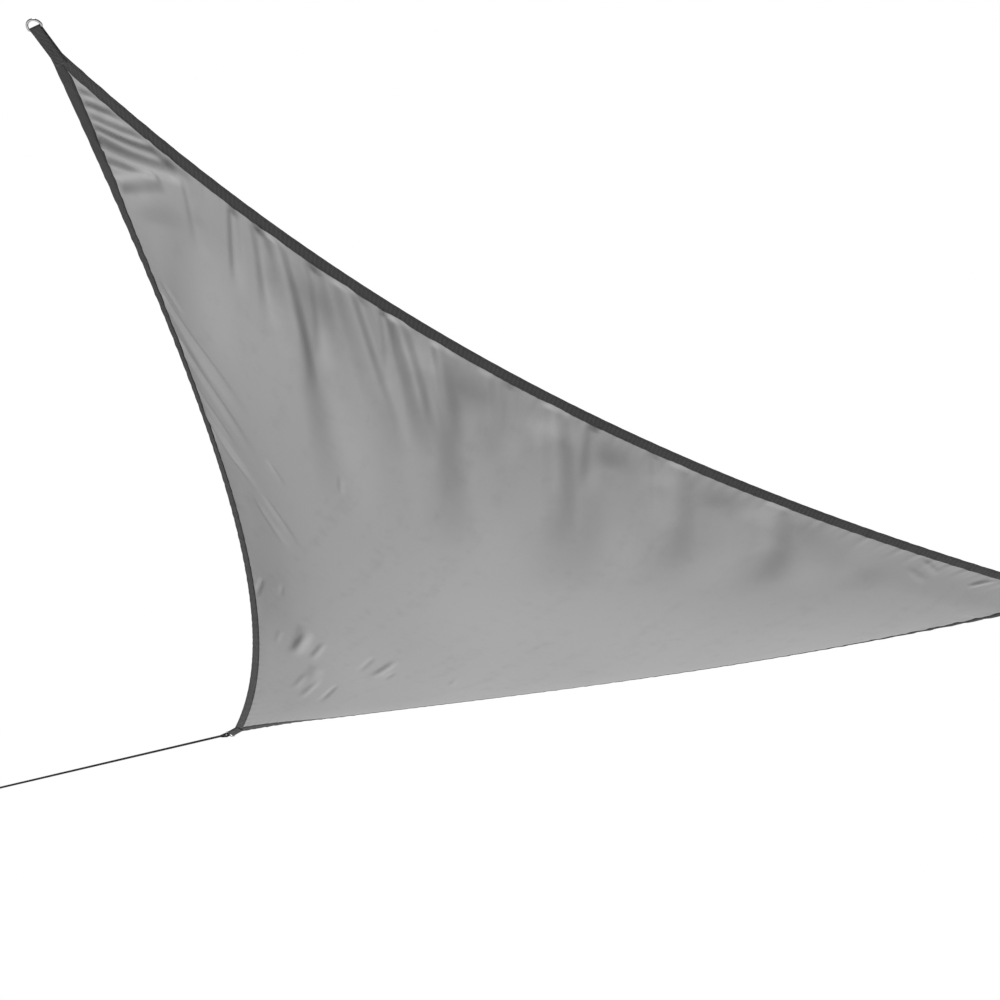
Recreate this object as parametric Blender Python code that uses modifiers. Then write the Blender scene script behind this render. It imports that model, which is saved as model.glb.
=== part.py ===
"""Triangular shade sail, 3.6 m a side, in the shape in which it hangs.

A knitted panel with webbing folded over its three hollow-cut edges, a loop of
webbing and a D ring at each corner, and a taut tie rope on the far corner's
ring. The panel sags between its edges, and soft folds hang from the upper one.

Metres, +Z up, +Y away from the viewer, +X to the right. The origin is where
the high corner's ring bears on what holds the sail up.
"""
import math

import bpy
from mathutils import Matrix, Vector

# ------------------------------------------------------------------ sizes
SIDE = 3.600                # tip to tip, the same on all three sides
HEIGHT = SIDE * math.sqrt(0.75)
CLOTH_T = 0.0012            # the cloth, its hem included

WEB_W = 0.028               # edge webbing on each face of the cloth
WEB_T = 0.0012
WEB_GAP = 0.0009            # cloth to webbing
WEB_END = 0.5               # ends short of the tip, as a share of a border cell
MITRE_GAP = 0.0008          # between two edges' webbing at a corner

LOOP_W = 0.030              # corner loop of webbing
LOOP_T = 0.0015
LOOP_GAP = 0.0010           # edge webbing to loop
RING_GAP = 0.0007           # loop to ring
LOOP_IN = 0.085             # how far the loop runs onto the sail
LOOP_FLAT = 0.004           # level stretch beyond the tip

RING_WIRE = 0.006           # D ring of round wire
RING_HALF = 0.019           # wire centre line, half the ring's width
BAR_HALF = 0.0152           # straight bar between the two bends
RING_SIDE = 0.003           # short straight side of the D
BAR_OUT = 0.018             # ring bar beyond the cloth's tip

ROPE_D = 0.010
ROPE_LEN = 1.550            # straight run between its two eyes
ROPE_GAP = 0.0004
EYE_R = 0.0084              # eye round the ring: centre-line radius
EYE_LEG = 0.022
END_R = 0.016               # eye at the free end
END_LEG = 0.036
ROPE_POINTS = 55
ROPE_WAY = Vector((-0.858, 0.496, -0.131)).normalized()

# ------------------------------------------------- the sail's hanging form
# tips of the cloth
TIP = {
    "high": Vector((0.016, 0.029, -0.016)),
    "far": Vector((-0.068, 3.366, -1.362)),
    "right": Vector((3.064, 1.612, -1.091)),
}

# Each edge is a shallow arch between two tips: how far its middle is drawn
# in toward the third tip and how far it hangs, each with a lean that moves
# the deepest point toward the end tip.
#  name     from    to       facing   bow    lean   sag    lean
EDGE = (
    ("upper", "high", "right", "far", 0.258, -0.21, 0.031, 0.00),
    ("lower", "right", "far", "high", 0.249, 0.00, 0.162, -0.23),
    ("left", "far", "high", "right", 0.249, -0.17, 0.088, 0.00),
)
BELLY = 0.190               # further sag at the middle of the panel
BELLY_OFF_FAR = 0.30        # it sits further from the far tip
BELLY_TO_HIGH = 0.70        # and nearer the high one

# Just inside an edge the panel droops: where along that edge it starts, is
# full, and ends, as shares of the way; how deep, how soon, and how far in.
#  edge      first  full   until  gone   depth  soon   far in
DROOP = (
    ("lower", 0.040, 0.240, 0.740, 0.930, 0.026, 0.030, 0.300),
    ("left", 0.520, 0.700, 0.860, 0.940, 0.015, 0.030, 0.200),
)

# Soft folds, on the panel laid flat: metres along the upper edge from the
# high tip and metres in from that edge. Depth is downward.
#  along0  in0    along1  in1    width  depth
FOLD = (
    (0.160, 0.200, 0.380, 0.040, 0.110, 0.010),
    (0.250, 0.360, 0.420, 0.150, 0.130, -0.010),
    (0.470, 0.120, 0.580, 0.760, 0.300, 0.010),
    (0.690, 0.020, 0.930, 0.480, 0.130, -0.010),
    (0.800, 0.020, 1.280, 0.900, 0.280, 0.022),
    (1.170, 0.020, 1.570, 0.700, 0.240, -0.020),
    (1.350, 0.020, 1.760, 0.780, 0.320, 0.018),
    (1.640, 0.020, 2.040, 0.680, 0.360, -0.026),
    (1.860, 0.020, 2.160, 0.540, 0.240, 0.012),
    (2.060, 0.020, 2.310, 0.520, 0.260, -0.010),
    (2.270, 0.020, 2.480, 0.450, 0.280, 0.011),
    (2.430, 0.020, 2.630, 0.400, 0.280, -0.011),
    (2.600, 0.020, 2.750, 0.340, 0.240, 0.008),
    (2.830, 0.020, 2.940, 0.260, 0.200, -0.007),
    (0.370, 0.640, 0.760, 0.830, 0.120, 0.008),
    (0.560, 0.980, 0.920, 1.230, 0.130, 0.009),
    (1.390, 1.760, 1.520, 2.120, 0.120, 0.006),
    (1.620, 2.060, 1.740, 2.340, 0.120, 0.005),
)
FOLD_START = 0.2            # share of a fold's run in which it deepens
FOLD_FADE = 0.5             # and dies away
FOLD_CALM = 0.050           # no fold this close to an edge
FOLD_RISE = 0.050           # full depth this much further in

# slow unevenness of the whole panel
#  crest to crest  heading (deg)  height
WAVE = (
    (1.350, 20.0, 0.006),
    (0.930, 75.0, 0.004),
    (0.640, -35.0, 0.0025),
)

# ------------------------------------------------------------------- grid
COLS = 100                  # cells along the upper edge
ROWS = 50                   # rows from the upper edge to the far tip
BORDER = 1.0 / ROWS         # the border cells' width, as a share
STEP = 0.003                # share over which a slope is measured
UP = Vector((0.0, 0.0, 1.0))


def smooth(v):
    v = min(1.0, max(0.0, v))
    return v * v * (3.0 - 2.0 * v)


# ------------------------------------------------------------ sail surface
def shares(far, right):
    return {"high": max(0.0, 1.0 - far - right), "far": far, "right": right}


def edge_reach(far, right):
    """Metres in from each edge, and the share of the way along it."""
    share = shares(far, right)
    for name, start, end, facing, *_ in EDGE:
        t = share[end] / max(1e-9, share[start] + share[end])
        # a share spans less of the panel near the tips, where it narrows
        yield name, share[facing] * HEIGHT * (0.46 + 1.52 * t * (1.0 - t)), t


def droop(far, right):
    depth = 0.0
    for name, reach, t in edge_reach(far, right):
        for edge, first, full, until, gone, deep, soon, inside in DROOP:
            if edge == name:
                along = smooth((t - first) / (full - first)) * smooth((gone - t) / (gone - until))
                depth += deep * along * (1.0 - math.exp(-reach / soon)) * math.exp(-reach / inside)
    return depth


def bare(far, right):
    """Middle surface without folds, from the shares of two tips."""
    share = shares(far, right)
    p = sum((TIP[name] * s for name, s in share.items()), Vector())
    for _, start, end, facing, bow, bow_lean, sag, sag_lean in EDGE:
        near = share[start] + share[end]
        if near < 1e-9:
            continue
        t = share[end] / near
        along = (TIP[end] - TIP[start]).normalized()
        inward = TIP[facing] - TIP[start]
        inward = (inward - along * inward.dot(along)).normalized()
        arch = 4.0 * t * (1.0 - t) * near * near
        p = p + inward * (bow * arch * (1.0 + bow_lean * (2.0 * t - 1.0)))
        p = p - UP * (sag * arch * (1.0 + sag_lean * (2.0 * t - 1.0)))
    lean = 1.0 - BELLY_OFF_FAR * (far - 1 / 3) + BELLY_TO_HIGH * (share["high"] - 1 / 3)
    belly = BELLY * 27.0 * share["high"] * far * right * lean
    return p - UP * (belly + droop(far, right))


def normal(far, right):
    """Upward normal of the bare surface."""
    far, right = max(far, STEP), max(right, STEP)
    over = max(0.0, far + right - 1.0 + STEP)
    far, right = far - 0.5 * over, right - 0.5 * over
    ahead = bare(far + STEP, right) - bare(far - STEP, right)
    aside = bare(far, right + STEP) - bare(far, right - STEP)
    return aside.cross(ahead).normalized()


def edge_room(far, right):
    """0 near an edge, 1 further in."""
    room = 1.0
    for _, reach, _ in edge_reach(far, right):
        room *= smooth((reach - FOLD_CALM) / FOLD_RISE)
    return room


def fold_depth(far, right):
    """How far folds and waves push the panel down here."""
    room = edge_room(far, right)
    if room == 0.0:
        return 0.0
    x = SIDE * (right + 0.5 * far)
    y = HEIGHT * far
    depth = 0.0
    for x0, y0, x1, y1, width, deep in FOLD:
        dx, dy = x1 - x0, y1 - y0
        run = math.hypot(dx, dy)
        u = ((x - x0) * dx + (y - y0) * dy) / (run * run)
        off = abs((x - x0) * dy - (y - y0) * dx) / run
        if off < 0.5 * width and 0.0 < u < 1.0:
            across = math.cos(math.pi * off / width) ** 2
            depth += deep * across * smooth(u / FOLD_START) * smooth((1.0 - u) / FOLD_FADE)
    middle = smooth(54.0 * (1.0 - far - right) * far * right)
    for length, heading, height in WAVE:
        way = math.radians(heading)
        phase = (x * math.cos(way) + y * math.sin(way)) / length
        depth += middle * height * math.sin(2.0 * math.pi * phase)
    return depth * room


def sail(far, right):
    return bare(far, right) - normal(far, right) * fold_depth(far, right)


# --------------------------------------------------------------- materials
def material(name, colour, roughness, metallic=0.0):
    mat = bpy.data.materials.new(name)
    mat.use_nodes = True
    shader = mat.node_tree.nodes["Principled BSDF"]
    shader.inputs["Base Color"].default_value = (*colour, 1.0)
    shader.inputs["Roughness"].default_value = roughness
    shader.inputs["Metallic"].default_value = metallic
    return mat


# ---------------------------------------------------------------- builders
def place(name, data, mat, matrix=None):
    obj = bpy.data.objects.new(name, data)
    data.materials.append(mat)
    PARTS.objects.link(obj)
    if matrix is not None:
        obj.matrix_world = matrix
    return obj


def thicken(obj, thickness, offset):
    """Give an open sheet its thickness; offset 1 is outward, 0 is central."""
    solid = obj.modifiers.new("thickness", "SOLIDIFY")
    solid.thickness = thickness
    solid.offset = offset
    solid.use_even_offset = True


def sheet(name, points, faces, mat, thickness, offset, matrix=None):
    mesh = bpy.data.meshes.new(name)
    mesh.from_pydata(points, [], faces)
    obj = place(name, mesh, mat, matrix)
    thicken(obj, thickness, offset)
    return obj


def ribbon(lines, slant):
    """Points and faces of a sheet lofted through lines of equal count.

    Each strip's cells are cut along the one diagonal or the other.
    """
    count = len(lines[0])
    points = [p for line in lines for p in line]
    faces = []
    for i in range(len(lines) - 1):
        for j in range(count - 1):
            p = i * count + j
            q = p + count
            last = q + 1 if slant[j] else q
            first = p if slant[j] else p + 1
            faces.append((p, p + 1, last))
            faces.append((first, q + 1, q))
    return points, faces


def rod(name, path, diameter, mat, closed, matrix=None):
    """Round bar or rope along a path."""
    curve = bpy.data.curves.new(name, "CURVE")
    curve.dimensions = "3D"
    curve.bevel_depth = diameter / 2
    curve.bevel_resolution = 2
    curve.use_fill_caps = True
    spline = curve.splines.new("POLY")
    spline.points.add(len(path) - 1)
    for point, p in zip(spline.points, path):
        point.co = (*p, 1.0)
    spline.use_cyclic_u = closed
    return place(name, curve, mat, matrix)


# ------------------------------------------------------------------- cloth
def row_columns(row):
    """Columns of a row; the border cells are two columns wide."""
    last = COLS - 2 * row
    return [j for j in range(last + 1) if j not in (1, last - 1)]


def build_cloth(mat):
    points, index = [], {}
    for row in range(ROWS + 1):
        for j in row_columns(row):
            index[row, j] = len(points)
            points.append(sail(row / ROWS, j / COLS))
    faces = []
    for row in range(ROWS):
        here, there = row_columns(row), row_columns(row + 1)
        i = j = 0
        while i < len(here) - 1 or j < len(there) - 1:
            step_here = i < len(here) - 1
            if step_here and j < len(there) - 1:
                step_here = here[i + 1] <= there[j + 1]
            p, q = index[row, here[i]], index[row + 1, there[j]]
            if step_here:
                i += 1
                faces.append((p, index[row, here[i]], q))
            else:
                j += 1
                faces.append((p, index[row + 1, there[j]], q))
    sheet("sail_cloth", points, faces, mat, CLOTH_T, 0.0)


# ------------------------------------------------------------ edge webbing
def border(name, t, inside):
    """Shares at t along an edge, on the edge or one border cell in."""
    s = BORDER * inside
    if name == "upper":
        return s, t
    if name == "lower":
        return t, 1.0 - t - s
    return 1.0 - t, s


# Beside a tip the cloth bends along a line from one edge to the other. Webbing
# that crosses this line is narrowed on it; here is where the line ends.
ACROSS = {
    ("upper", "high"): (BORDER, 0.0),
    ("left", "high"): (0.0, BORDER),
    ("lower", "right"): (0.0, 1.0 - BORDER),
}


def mitre(name, t):
    """How much of the border cell lies on this edge's side of the corners."""
    start, end = t / BORDER, (1.0 - t) / BORDER
    if name == "left":
        return min(0.5 * start, end)
    return min(start, 0.5 * end)


def webbing_line(name, t):
    """Edge point, inner limit, outward step and upward normal of the webbing at t."""
    rim, cell = border(name, t, 0.0), border(name, t, 1.0)
    p, q = sail(*rim), sail(*cell)
    ahead = sail(*border(name, min(1.0, t + STEP), 0.0))
    behind = sail(*border(name, max(0.0, t - STEP), 0.0))
    along = (ahead - behind).normalized()
    across = (q - p) - along * (q - p).dot(along)
    room = across.length
    part = min(WEB_W / room, mitre(name, t) - MITRE_GAP / room)
    up = along.cross(across).normalized()
    return p, p.lerp(q, part), across.normalized() * -WEB_GAP, up


def build_webbing(name, mat):
    """Webbing folded over an edge, mitred to a narrow end at each tip."""
    stations = [webbing_line(name, i * BORDER) for i in range(1, ROWS)]
    start, end = next(edge[1:3] for edge in EDGE if edge[0] == name)
    for tip, i in ((start, 0), (end, len(stations))):
        p, inner, *rest = stations[min(i, len(stations) - 1)]
        narrow = TIP[tip].lerp(inner, WEB_END)
        if (name, tip) in ACROSS:
            beside = sail(*ACROSS[name, tip])
            narrow = p.lerp(beside, 0.5 - MITRE_GAP / (beside - p).length)
        stations.insert(i + (i > 0), (TIP[tip].lerp(p, WEB_END), narrow, *rest))
    level = CLOTH_T / 2 + WEB_GAP
    lines = []
    for p, inner, out, up in stations:
        lines.append([
            inner + up * level, p + out + up * level,
            p + out - up * level, inner - up * level,
        ])
    # cut as the cloth's border cells are, so that the two stay parallel
    top = name != "left"
    points, faces = ribbon(lines, (top, top, not top))
    sheet("edge_webbing_" + name, points, faces, mat, WEB_T, 1.0)


# ----------------------------------------------------------------- corners
def corner(name):
    """Frame at a tip: X across, Y outward, Z up from the tip's own facet.

    Also where the second facet starts, and how steeply it falls away.
    """
    b = BORDER
    beside, inside = {
        "high": (((b, 0.0), (0.0, b)), (b, b)),
        "far": (((1.0 - b, b), (1.0 - b, 0.0)), (1.0 - 2 * b, b)),
        "right": (((0.0, 1.0 - b), (b, 1.0 - b)), (b, 1.0 - 2 * b)),
    }[name]
    tip = TIP[name]
    p, q, r = sail(*beside[0]), sail(*beside[1]), sail(*inside)
    outward = -((p - tip).normalized() + (q - tip).normalized()).normalized()
    up = (p - tip).cross(q - tip).normalized()
    if up.z < 0.0:
        up = -up
    across = outward.cross(up)
    frame = Matrix((across, outward, up)).transposed().to_4x4()
    frame.translation = tip
    near = (tip - 0.5 * (p + q)).dot(outward)
    slope = (r - tip).dot(up) / ((tip - r).dot(outward) - near)
    return frame, near, slope


def arc(radius, start, stop, count):
    """Points round the origin, angles in degrees from the Y axis to Z."""
    turn = [math.radians(start + (stop - start) * i / count) for i in range(count + 1)]
    return [(radius * math.cos(a), radius * math.sin(a)) for a in turn]


def build_corner_loop(name, mat):
    """Webbing in under the sail, round the ring's bar and back above it."""
    frame, near, slope = corner(name)
    level = CLOTH_T / 2 + WEB_GAP + WEB_T + LOOP_GAP
    leg = [(LOOP_FLAT, 0.0), (-near, 0.0), (-LOOP_IN, (LOOP_IN - near) * slope)]
    path = [(y, z - level) for y, z in reversed(leg)]
    path += [(BAR_OUT + y, z) for y, z in arc(RING_WIRE / 2 + RING_GAP, -90, 90, 8)]
    path += [(y, z + level) for y, z in leg]
    half = LOOP_W / 2
    lines = [[(half, y, z), (-half, y, z)] for y, z in path]
    points, faces = ribbon(lines, (True,))
    sheet("corner_loop_" + name, points, faces, mat, LOOP_T, 1.0, frame)


def ring_frame(name, pull):
    """Frame on the ring's bar, turned about it to face the pull."""
    frame, _, _ = corner(name)
    across = frame.col[0].to_3d()
    outward = (pull - across * pull.dot(across)).normalized()
    ring = Matrix((across, outward, across.cross(outward))).transposed().to_4x4()
    ring.translation = frame @ Vector((0.0, BAR_OUT, 0.0))
    return ring


def build_ring(name, pull, mat):
    bow = [math.radians(12.0 * i) for i in range(16)]
    path = [(-BAR_HALF, 0.0, 0.0), (0.0, 0.0, 0.0), (BAR_HALF, 0.0, 0.0)]
    path += [(RING_HALF * math.cos(a), RING_SIDE + RING_HALF * math.sin(a), 0.0) for a in bow]
    frame = ring_frame(name, pull)
    rod("d_ring_" + name, path, RING_WIRE, mat, True, frame)
    return frame


# -------------------------------------------------------------------- rope
def eye(radius, leg):
    """Long closed loop in the XZ plane: X along the rope, first bend at 0."""
    first = [(-radius * math.sin(a), 0.0, radius * math.cos(a))
             for a in (math.radians(22.5 * i) for i in range(9))]
    last = [(leg + radius * math.sin(a), 0.0, -radius * math.cos(a))
            for a in (math.radians(22.5 * i) for i in range(9))]
    return first + last


def build_rope(ring, mat):
    """Tie rope from the ring's bow, straight and taut, an eye at each end."""
    local = ring.inverted().to_3x3() @ ROPE_WAY
    bow = Vector((RING_HALF * local.x, RING_SIDE + RING_HALF * local.y, 0.0))
    up = ring.col[2].to_3d()
    up = (up - ROPE_WAY * up.dot(ROPE_WAY)).normalized()
    frame = Matrix((ROPE_WAY, up.cross(ROPE_WAY), up)).transposed().to_4x4()
    frame.translation = ring @ bow
    rod("rope_eye", eye(EYE_R, EYE_LEG), ROPE_D, mat, True, frame)
    start = EYE_LEG + EYE_R + ROPE_D / 2 + ROPE_GAP
    stop = start + ROPE_LEN
    pitch = ROPE_LEN / (ROPE_POINTS - 1)
    route = [(start + pitch * i, 0.0, 0.0) for i in range(ROPE_POINTS)]
    rod("tie_rope", route, ROPE_D, mat, False, frame)
    end = frame @ Matrix.Translation((stop + ROPE_GAP + ROPE_D / 2 + END_R, 0.0, 0.0))
    rod("rope_end_eye", eye(END_R, END_LEG), ROPE_D, mat, True, end)


for old in list(bpy.data.objects):
    bpy.data.objects.remove(old, do_unlink=True)
PARTS = bpy.data.collections.new("shade_sail")
bpy.context.scene.collection.children.link(PARTS)

knit = material("knit", (0.33, 0.33, 0.33), 0.85)
webbing = material("webbing", (0.07, 0.07, 0.07), 0.80)
steel = material("steel", (0.62, 0.62, 0.62), 0.25, metallic=1.0)
cordage = material("cordage", (0.012, 0.012, 0.012), 0.70)

build_cloth(knit)
for edge in EDGE:
    build_webbing(edge[0], webbing)
for tip_name in TIP:
    build_corner_loop(tip_name, webbing)
for tip_name in ("high", "right"):
    build_ring(tip_name, corner(tip_name)[0].col[1].to_3d(), steel)
build_rope(build_ring("far", ROPE_WAY, steel), cordage)
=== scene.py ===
"""Looks of the hanging shade sail: knitted cloth with its creases and seam
puckers, stitched webbing, steel D rings and a braided tie rope.

Metres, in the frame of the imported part: +Z up, +Y away from the viewer, origin
where the high corner's ring bears on what holds the sail up.
"""
import math

import bpy
import numpy as np
from mathutils import Matrix, Vector


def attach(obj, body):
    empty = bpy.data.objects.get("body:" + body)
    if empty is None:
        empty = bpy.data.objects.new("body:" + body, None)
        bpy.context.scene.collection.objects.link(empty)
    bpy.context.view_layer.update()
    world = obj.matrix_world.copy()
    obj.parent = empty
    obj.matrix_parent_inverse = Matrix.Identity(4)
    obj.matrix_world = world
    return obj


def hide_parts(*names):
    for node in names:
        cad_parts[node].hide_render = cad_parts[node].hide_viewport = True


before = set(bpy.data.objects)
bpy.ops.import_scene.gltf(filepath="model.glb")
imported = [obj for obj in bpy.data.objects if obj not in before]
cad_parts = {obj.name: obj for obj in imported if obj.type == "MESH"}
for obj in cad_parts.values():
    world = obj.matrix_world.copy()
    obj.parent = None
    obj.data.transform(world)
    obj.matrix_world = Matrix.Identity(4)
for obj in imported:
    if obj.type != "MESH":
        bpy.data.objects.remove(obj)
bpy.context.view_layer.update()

# ------------------------------------------------------------------ sizes
SIDE = 3.600                # tip to tip
HEIGHT = SIDE * math.sqrt(0.75)
CLOTH_T = 0.0010

WEB_W = 0.028
WEB_CUT_W = 0.06            # before it is folded over
WEB_T = 0.0011
WEB_GAP = 0.0003            # between cloth and webbing
FOLD_ROOM = 0.0002          # further out where the webbing turns over the edge
WEB_END = 0.3               # ends short of the tip, as a share of a border cell
WEB_LEAST = 0.02            # of a border cell, where the webbing tapers to a tip
MITRE_GAP = 0.0006
SEAM_ROWS = (0.16, 0.86)    # across the webbing, from the edge inward

LOOP_W = 0.030
LOOP_T = 0.0015
LOOP_GAP = 0.0006
LOOP_OFF = 0.0009           # further off the edge webbing and its stitches
LOOP_IN = 0.085
LOOP_FLAT = 0.004
SEWN_HALF = 0.011           # half the width of the sewn box with its cross
SEWN_FROM = 0.012           # the box starts this far in from the tip
SEWN_SHORT = 0.006          # and ends this short of the loop's own end

RING_WIRE = 0.006
RING_HALF = 0.019
RING_BEND = 0.0038          # where the bar turns into the bow
BAR_HALF = 0.0152
RING_SIDE = 0.003
BAR_OUT = 0.018
WELD_HALF = 0.0011
WELD_HIGH = 0.0002

ROPE_D = 0.010
ROPE_LEN = 1.550
ROPE_GAP = 0.0004
ROPE_INTO = 0.004           # it runs on into the whipping of each eye
STRANDS = 8                 # of the braid, winding each way
STRAND_DEEP = 0.00035
LAY = 0.034                 # length of one turn of a strand
EYE_R = 0.0084
EYE_LEG = 0.022
EYE_TAIL = 0.006            # the eye's legs run on inside the whipping
EYE_THROAT = 0.0049         # half the space between their middles there
END_R = 0.016
END_LEG = 0.036
END_TAIL = 0.012
WHIP_LEN = 0.022
WHIP_TURNS = 9
WHIP_BEFORE = 0.010         # starts this far before the legs' ends
WHIP_WIDE = 0.0105          # half its width where it starts
WHIP_TAPER = 0.0048         # and how much less it is where it ends
WHIP_THIN = 0.0055
TWINE_HIGH = 0.00045
ROPE_WAY = Vector((-0.858, 0.496, -0.131)).normalized()

# ------------------------------------------------- the sail's hanging form
TIP = {
    "high": np.array((0.016, 0.029, -0.016)),
    "far": np.array((-0.068, 3.366, -1.362)),
    "right": np.array((3.064, 1.612, -1.091)),
}

#  name     from    to       facing   bow    lean   sag    lean
EDGE = (
    ("upper", "high", "right", "far", 0.258, -0.21, 0.031, 0.00),
    ("lower", "right", "far", "high", 0.249, 0.00, 0.162, -0.23),
    ("left", "far", "high", "right", 0.249, -0.17, 0.088, 0.00),
)
BELLY = 0.190               # further sag at the middle of the panel
BELLY_OFF_FAR = 0.30        # it sits further from the far tip
BELLY_TO_HIGH = 0.70        # and nearer the high one

# Just inside an edge the panel droops: where along that edge it starts, is
# full, and ends, as shares of the way; how deep, how soon, and how far in.
#  edge      first  full   until  gone   depth  soon   far in
DROOP = (
    ("lower", 0.022, 0.075, 0.800, 0.975, 0.026, 0.030, 0.300),
    ("left", 0.520, 0.700, 0.860, 0.940, 0.015, 0.030, 0.200),
)

# Broad folds, on the panel laid flat: metres along the upper edge from the
# high tip and metres in from that edge. Depth is downward.
#  along0  in0    along1  in1    width  depth
FOLD = (
    (0.160, 0.200, 0.380, 0.040, 0.110, 0.010),
    (0.250, 0.360, 0.420, 0.150, 0.130, -0.010),
    (0.470, 0.120, 0.580, 0.760, 0.300, 0.010),
    (0.690, 0.020, 0.930, 0.480, 0.130, -0.010),
    (0.800, 0.020, 1.280, 0.900, 0.280, 0.022),
    (1.170, 0.020, 1.570, 0.700, 0.240, -0.020),
    (1.350, 0.020, 1.760, 0.780, 0.320, 0.018),
    (1.640, 0.020, 2.040, 0.680, 0.360, -0.026),
    (1.860, 0.020, 2.160, 0.540, 0.240, 0.012),
    (2.060, 0.020, 2.310, 0.520, 0.260, -0.010),
    (2.270, 0.020, 2.480, 0.450, 0.280, 0.011),
    (2.430, 0.020, 2.630, 0.400, 0.280, -0.011),
    (2.600, 0.020, 2.750, 0.340, 0.240, 0.008),
    (2.830, 0.020, 2.940, 0.260, 0.200, -0.007),
    (0.370, 0.640, 0.760, 0.830, 0.120, 0.008),
    (0.560, 0.980, 0.920, 1.230, 0.130, 0.009),
    (1.390, 1.760, 1.520, 2.120, 0.120, 0.006),
    (1.620, 2.060, 1.740, 2.340, 0.120, 0.005),
)
FOLD_START = 0.2            # each sets in over this share of its run
FOLD_FADE = 0.5             # and fades over this one
FOLD_CALM = 0.020           # none is nearer to an edge than this
FOLD_RISE = 0.085           # and all are full this much further in

# Narrow creases, each along the bottom of a trough or the crest of a ridge:
# how far that line bows to its right, the width of the slopes left and right
# of it, and the depth, below 0 for a ridge. The next two tables are alike.
#  along0  in0    along1  in1    bow     left   right  depth
CREASE = (
    # from the upper webbing inward
    (0.404, 0.000, 0.520, 0.270, 0.000, 0.026, 0.045, 0.0070),
    (0.569, 0.000, 0.643, 0.300, 0.000, 0.026, 0.038, 0.0110),
    (0.641, 0.000, 0.761, 0.320, 0.010, 0.038, 0.045, 0.0140),
    (0.685, 0.000, 0.935, 0.460, 0.022, 0.050, 0.044, -0.0175),
    (0.812, 0.000, 0.945, 0.300, 0.018, 0.036, 0.050, 0.0120),
    (0.920, 0.000, 1.280, 0.460, 0.006, 0.070, 0.046, -0.0185),
    (0.965, 0.000, 1.200, 0.300, 0.004, 0.036, 0.045, 0.0075),
    (1.055, 0.000, 1.170, 0.240, 0.006, 0.026, 0.035, 0.0095),
    (1.100, 0.000, 1.370, 0.400, 0.012, 0.056, 0.046, -0.0270),
    (1.240, 0.000, 1.430, 0.280, 0.000, 0.036, 0.044, -0.0120),
    (1.275, 0.000, 1.460, 0.540, 0.000, 0.060, 0.100, -0.0090),
    (1.420, 0.000, 1.550, 0.280, 0.000, 0.050, 0.040, -0.0080),
    (1.500, 0.000, 1.610, 0.270, 0.000, 0.040, 0.050, 0.0060),
    (1.660, 0.000, 1.900, 0.500, 0.012, 0.070, 0.065, -0.0190),
    (1.800, 0.000, 1.895, 0.260, 0.000, 0.035, 0.045, 0.0085),
    (2.015, 0.000, 2.160, 0.250, 0.000, 0.026, 0.036, 0.0050),
    (2.110, 0.000, 2.300, 0.400, 0.000, 0.060, 0.070, -0.0130),
    (2.470, 0.000, 2.640, 0.340, 0.000, 0.070, 0.070, -0.0120),
    # from the left webbing inward
    (0.395, 0.610, 0.780, 0.790, 0.000, 0.040, 0.036, -0.0070),
    (0.445, 0.750, 0.860, 0.960, 0.000, 0.036, 0.036, -0.0075),
    (0.530, 0.915, 0.800, 1.030, 0.000, 0.022, 0.022, -0.0045),
    (0.575, 1.000, 0.920, 1.150, 0.000, 0.030, 0.030, 0.0060),
    (0.600, 1.045, 0.920, 1.200, 0.000, 0.060, 0.030, -0.0080),
)

# Soft troughs and short creases out in the panel.
MARK = (
    # broad and soft, from beside the upper webbing
    (0.840, 0.060, 1.120, 0.640, 0.000, 0.110, 0.130, 0.0100),
    (1.300, 0.020, 1.520, 0.540, 0.000, 0.100, 0.120, 0.0090),
    # short, nearer the left webbing
    (0.385, 0.535, 0.500, 0.590, 0.000, 0.024, 0.022, 0.0040),
    (0.870, 0.900, 0.980, 0.960, 0.000, 0.016, 0.018, -0.0040),
    (0.900, 1.130, 1.150, 1.260, 0.000, 0.030, 0.024, -0.0060),
    (0.880, 1.215, 1.130, 1.340, 0.000, 0.030, 0.030, 0.0055),
    (1.115, 0.660, 1.155, 0.770, 0.000, 0.014, 0.024, 0.0025),
    # toward the far tip
    (1.115, 1.710, 1.160, 1.960, 0.000, 0.018, 0.018, -0.0045),
    (1.185, 1.600, 1.225, 1.730, 0.000, 0.016, 0.012, -0.0025),
    (1.340, 1.970, 1.395, 2.150, 0.000, 0.014, 0.020, 0.0025),
    (1.420, 1.770, 1.500, 2.170, 0.000, 0.036, 0.040, 0.0075),
    (1.510, 1.780, 1.575, 2.080, 0.000, 0.022, 0.026, 0.0055),
    (1.630, 2.180, 1.700, 2.440, 0.000, 0.020, 0.030, 0.0035),
    (1.715, 2.170, 1.790, 2.480, 0.000, 0.030, 0.018, 0.0045),
    (1.805, 2.130, 1.880, 2.420, 0.000, 0.022, 0.020, -0.0050),
    (1.730, 1.680, 1.790, 1.950, 0.000, 0.022, 0.018, -0.0040),
    (1.815, 1.620, 1.870, 1.960, 0.000, 0.024, 0.034, 0.0075),
    (1.895, 1.750, 1.925, 1.920, 0.000, 0.018, 0.014, -0.0035),
    (2.120, 1.600, 2.175, 1.720, 0.000, 0.016, 0.020, 0.0030),
    # toward the right tip
    (3.020, 0.040, 3.125, 0.095, 0.000, 0.020, 0.016, 0.0050),
    (3.005, 0.095, 3.110, 0.140, 0.000, 0.020, 0.020, 0.0030),
    (3.240, 0.112, 3.315, 0.030, 0.000, 0.016, 0.018, 0.0060),
)

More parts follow.
